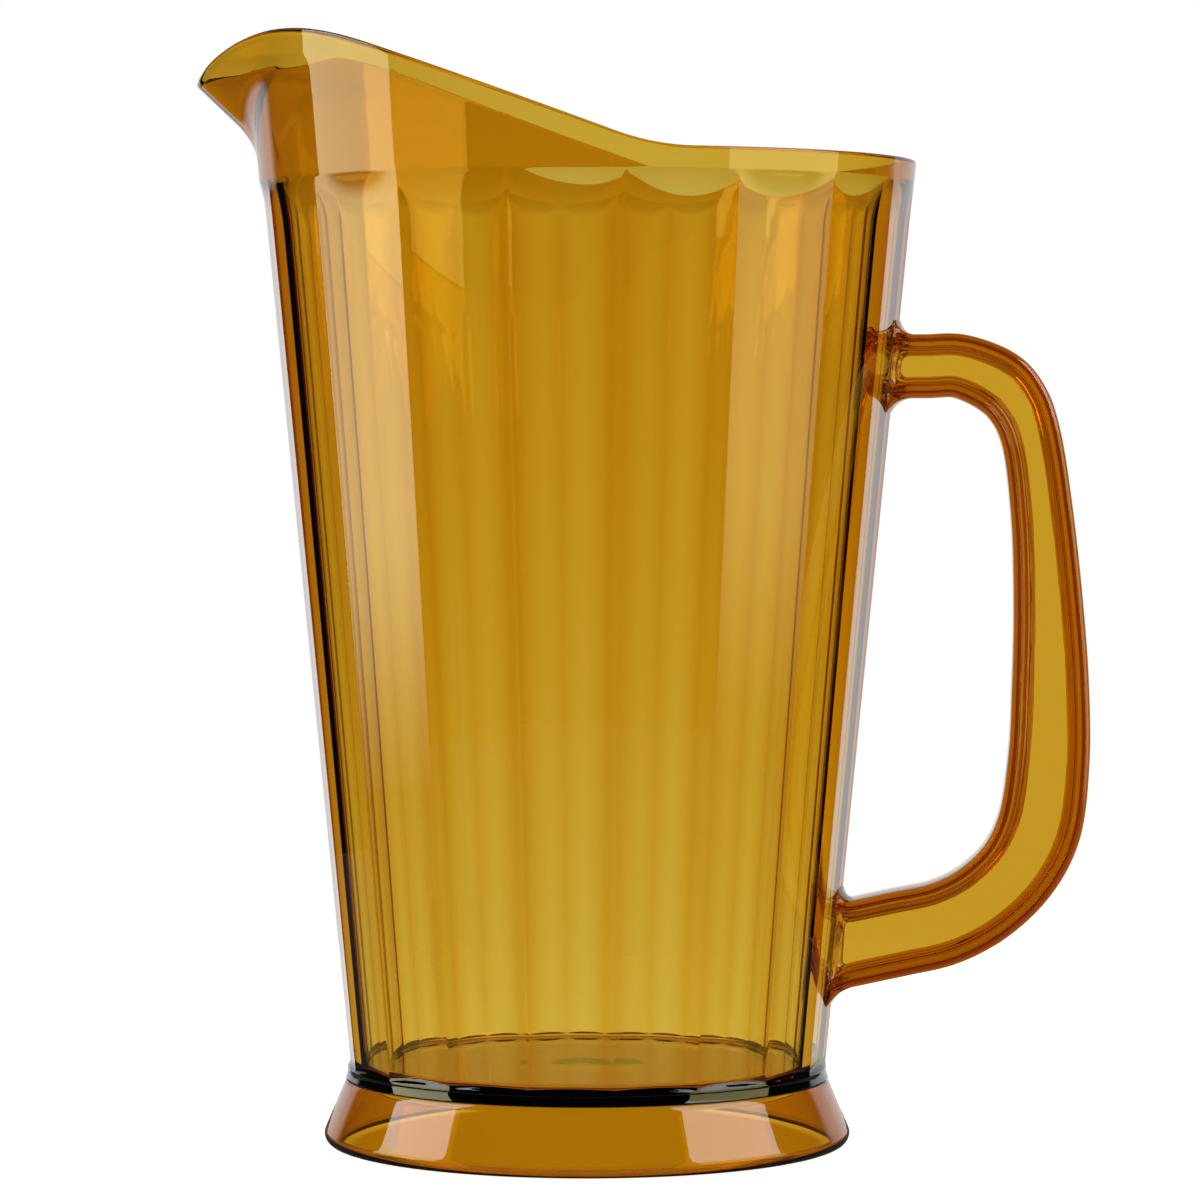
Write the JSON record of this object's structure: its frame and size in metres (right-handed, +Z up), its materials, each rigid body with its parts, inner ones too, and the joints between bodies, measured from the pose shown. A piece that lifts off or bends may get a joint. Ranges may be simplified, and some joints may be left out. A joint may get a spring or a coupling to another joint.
{
  "type": "plastic pitcher",
  "caption": "See-through amber serving pitcher with a tapered fluted wall, smooth rim band, pouring lip, flared hollow foot and an I-section loop handle.",
  "frame": {"origin": "on the table, below the middle of the whole object's length and width", "axes": "+Z up, +X from the spout towards the handle, Y across"},
  "size_m": [0.19, 0.1408, 0.234],
  "materials": {
    "amber_san": "polished, see-through amber"
  },
  "bodies": {
    "root": {"vessel": "amber_san", "foot_ring": "amber_san", "handle": "amber_san"}
  },
  "joints": []
}
